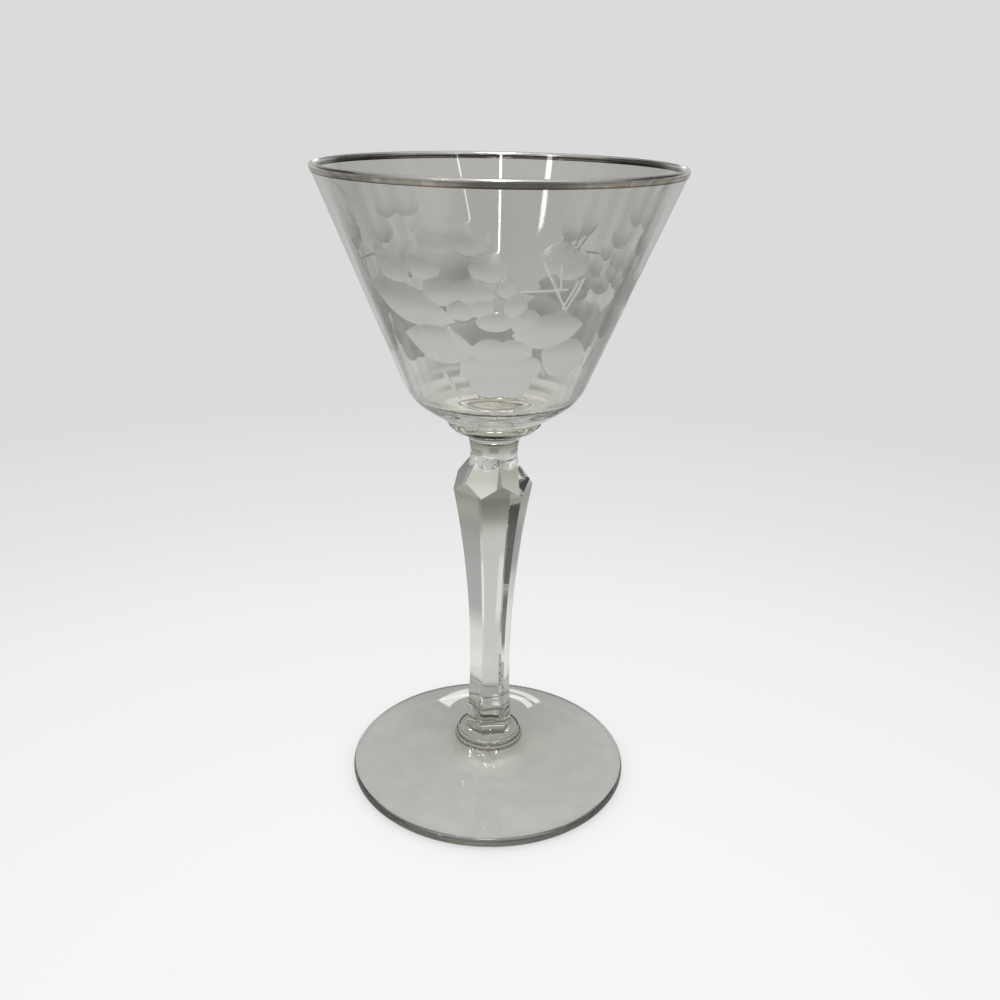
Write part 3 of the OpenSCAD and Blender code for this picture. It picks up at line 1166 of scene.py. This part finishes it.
# %% Tones of the paper and the table
BACKDROP_GREY = 0.708
PAPER_CENTRE = (0, -0.1, 0)
PAPER_TONES = ((0.085, 0.922), (0.128, 0.896), (0.188, 0.871), (0.277, 0.784), (0.422, BACKDROP_GREY))
# The dip to 0.16 just outside the rest ring of the foot is a painted contact shadow.
TABLE_TONES = (
    (0.002, 0.72),
    (0.0055, 0.56),
    (0.032, 0.56),
    (0.0326, 0.16),
    (0.0342, 0.16),
    (0.037, 0.78),
    (0.05, 0.84),
    (0.15, 0.82),
    (0.27, 0.62),
    (0.5, 0.5),
    (1.0, 0.47),
)
print("the table fades over", TABLE_TONES[-1][0], "m")

# %% Dim the table in places
CLOUD_REACH = (0.031, 0.032)
TABLE_CLOUD_SCALE = 150
TABLE_CLOUD_LEVELS = (0.35, 0.65)
UNEVEN_DARK = 0.06
FRONT_SECTOR = (10, 25, 35)
FRONT_STARTS = (0.04, 0.07)
FRONT_FADES = (0.3, 0.7)
FRONT_FADE_SHARE = 0.45
FRONT_DARK = 0.75
BACK_TURNS = (115, 160)
BACK_ENDS = (0.15, 0.3)
BACK_DARK = 0.26
GAP_SECTOR = (165, 13, 6)
GAP_BAND = (0.14, 0.04, 0.02)
PATCHES = (((138, 14, 12), (0.07, 0.11)), ((-120, 18, 14), (0.15, 0.2)))
PATCHES_END = (0.3, 0.45)
PATCH_DARK = 0.45
STRIP_TURNS = (169, 175)
STRIP_STARTS = (0.24, 0.3)
STRIP_ENDS = (0.45, 0.6)
STRIP_DARK = 0.38
FOLDS_START = (0.1, 0.14)


def table_shade(add, place, away):
    """What is left of the table's light at each place, as a share."""
    bearing = compass(add("ShaderNodeSeparateXYZ", {}, {"Vector": place}))
    turned = abs(bearing)
    # A painted patch of light in the dim back of the table, which lights the knop.
    gap = bearing.near(*GAP_SECTOR) * away.near(*GAP_BAND)
    back = turned.between(*BACK_TURNS) * (1 - away.between(*BACK_ENDS)) * (1 - gap)
    chalky = add("ShaderNodeLightPath", output="Is Diffuse Ray")
    front = bearing.near(*FRONT_SECTOR) * away.between(*FRONT_STARTS) * (1 - chalky)
    front = front * (1 - FRONT_FADE_SHARE * away.between(*FRONT_FADES))
    strip = turned.between(*STRIP_TURNS) * away.between(*STRIP_STARTS) * (1 - away.between(*STRIP_ENDS))
    cloud = noise(add, place, TABLE_CLOUD_SCALE, detail=4).between(*TABLE_CLOUD_LEVELS)
    cloud = cloud * (1 - away.between(*CLOUD_REACH))
    left = (1 - BACK_DARK * back) * (1 - FRONT_DARK * front) * (1 - STRIP_DARK * strip)
    left = left * (1 - UNEVEN_DARK * cloud)
    for sector, starts in PATCHES:
        patch = bearing.near(*sector) * away.between(*starts) * (1 - away.between(*PATCHES_END))
        left = left * (1 - PATCH_DARK * patch)
    return left * (1 - away.between(*FOLDS_START) * (1 - folds(bearing)))


print("the table is dimmed by", len(PATCHES), "patches and a strip")

# %% Lay the floor
FLOOR_R = 4.0
FLOOR_SEGMENTS = 96
FLOOR_GAP = 0.03 * MM
CONTACT_REACH = 7 * MM
CONTACT_SAMPLES = 16
CONTACT_DARK = 0.35


def floor_paper():
    """Pale paper for the camera, and a table with a dark front for every other ray."""
    material, add = new_material("floor_paper")
    place = add("ShaderNodeTexCoord", output="Object")
    away = distance(add, place, (0, 0, 0))
    table = toned(add, away, TABLE_TONES)
    paper = toned(add, distance(add, place, PAPER_CENTRE), PAPER_TONES)
    settings = {"samples": CONTACT_SAMPLES}
    open_sky = add("ShaderNodeAmbientOcclusion", settings, {"Distance": CONTACT_REACH}, "AO")
    paper_shade = 1 - CONTACT_DARK * (1 - open_sky)
    seen = add("ShaderNodeLightPath", output="Is Camera Ray")
    tone = mixed(add, seen, table, paper)
    strength = seen * paper_shade + (1 - seen) * table_shade(add, place, away)
    glow = add("ShaderNodeEmission", {}, {"Color": tone, "Strength": strength})
    add("ShaderNodeOutputMaterial", {}, {"Surface": glow})
    return material


floor_mesh = bpy.data.meshes.new("floor")
disc = bmesh.new()
bmesh.ops.create_circle(disc, cap_ends=True, radius=FLOOR_R, segments=FLOOR_SEGMENTS)
disc.to_mesh(floor_mesh)
disc.free()
floor = new_object("floor", floor_mesh)
floor.location.z = -FLOOR_GAP
floor_mesh.materials.append(floor_paper())
print("floor laid")

# %% [markdown]
# ### The room
# Rays that leave the glass upwards end in the room: a soft ceiling, a lighter wall low behind the glass,
# two dark screens beside it that draw the outlines of the bowl, and the dark camera stand in front. The
# two sides hang in folds, which show as streaks at the sides of the bowl. A few small lamps hang above
# the camera and show as thin streaks on the inside of the bowl, and the panes of a window low behind the
# glass shine back off its foot. A lamp has a bearing and a height, a half-width and a half-height, a
# slant and a power. A pane has a bearing, a half-width, a height and a half-height.

# %% Lamps and windows
LAMPS = (
    (-1, 38.5, 1.1, 4, 0, 18),
    (32, 39, 0.55, 3, 3, 9),
    (-39, 38, 2.2, 3, 0, 9),
    (0, 70, 16, 6, 0, 14),
)
LAMP_CORE = 0.8
WINDOW_PANES = (
    (-174.8, 2.2, 9.3, 1.5),
    (175.8, 3.0, 8.3, 0.6),
    (175.8, 3.0, 10.8, 0.5),
)
WINDOW_SOFT = (0.6, 0.5)
WINDOW_POWER = 2.3


def lights(bearing, height):
    """The light of all the lamps and panes, at each bearing and height in degrees."""
    total = 0
    for lamp_bearing, lamp_height, half_w, half_h, slant, power in LAMPS:
        up = height - lamp_height
        wide = (bearing - slant * up).near(lamp_bearing, half_w * LAMP_CORE, half_w * (1 - LAMP_CORE))
        total = total + wide * up.near(0, half_h * LAMP_CORE, half_h * (1 - LAMP_CORE)) * power
    for pane_bearing, half_w, pane_height, half_h in WINDOW_PANES:
        wide = bearing.near(pane_bearing, half_w, WINDOW_SOFT[0])
        total = total + wide * height.near(pane_height, half_h, WINDOW_SOFT[1]) * WINDOW_POWER
    return total


print(len(LAMPS), "lamps and", len(WINDOW_PANES), "panes")

# %% Make the room
ROOM_GREY = 0.4
CEILING_GREY = 0.7
CEILING_HEIGHTS = (40, 70)
WALL_GREY = 0.52
WALL_TOP_GREY = 0.26
WALL_TURNS = (110, 150)
WALL_TOP_HEIGHTS = (8, 18)
SCREEN_SHARE = 0.15
SCREEN_SECTOR = (112, 22, 14)
SCREEN_BAND = (25, 11, 6)
STAND_SHARE = 0.3
STAND_SECTOR = (12, 18, 20)
STAND_TOP_HEIGHTS = (32, 42)


def room():
    """The world: a pale backdrop for the camera, and the room for every other ray."""
    world = bpy.data.worlds.new("room")
    world.use_nodes = True
    world.node_tree.nodes.clear()
    add = partial(Wire.node, world.node_tree)
    way = add("ShaderNodeTexCoord", output="Generated")
    split = add("ShaderNodeSeparateXYZ", {}, {"Vector": way})
    bearing = compass(split)
    height = split.maths("ARCSINE", split.out("Z")) * IN_DEGREES
    turned = abs(bearing)
    behind = turned.between(*WALL_TURNS)
    ceiling = height.between(*CEILING_HEIGHTS)
    wall = WALL_GREY + height.between(*WALL_TOP_HEIGHTS) * (WALL_TOP_GREY - WALL_GREY)
    tone = ROOM_GREY * (1 - behind) + wall * behind
    tone = tone * (1 - ceiling) + CEILING_GREY * ceiling
    screens = turned.near(*SCREEN_SECTOR) * height.near(*SCREEN_BAND)
    stand = bearing.near(*STAND_SECTOR) * (1 - height.between(*STAND_TOP_HEIGHTS))
    tone = tone * folds(bearing) * (1 - screens * (1 - SCREEN_SHARE)) * (1 - stand * (1 - STAND_SHARE))
    tone = tone + lights(bearing, height)
    seen = add("ShaderNodeLightPath", output="Is Camera Ray")
    tone = tone * (1 - seen) + seen * BACKDROP_GREY
    glow = add("ShaderNodeBackground", {}, {"Color": tone})
    add("ShaderNodeOutputWorld", {}, {"Surface": glow})
    return world


scene.world = room()
print("room of", len(scene.world.node_tree.nodes), "nodes")

# %% [markdown]
# ## How light is followed
# A ray through this glass crosses many faces, so it needs many bounces before it is given up. The plain
# Standard view keeps the pale backdrop as pale as it is set.

# %% Set the bounces and the view
BOUNCES = 32
scene.cycles.max_bounces = BOUNCES
scene.cycles.transmission_bounces = BOUNCES
scene.cycles.glossy_bounces = BOUNCES // 2
scene.cycles.transparent_max_bounces = BOUNCES
scene.cycles.use_denoising = True
scene.view_settings.view_transform = "Standard"
scene.view_settings.look = "None"
print("bounces", BOUNCES)
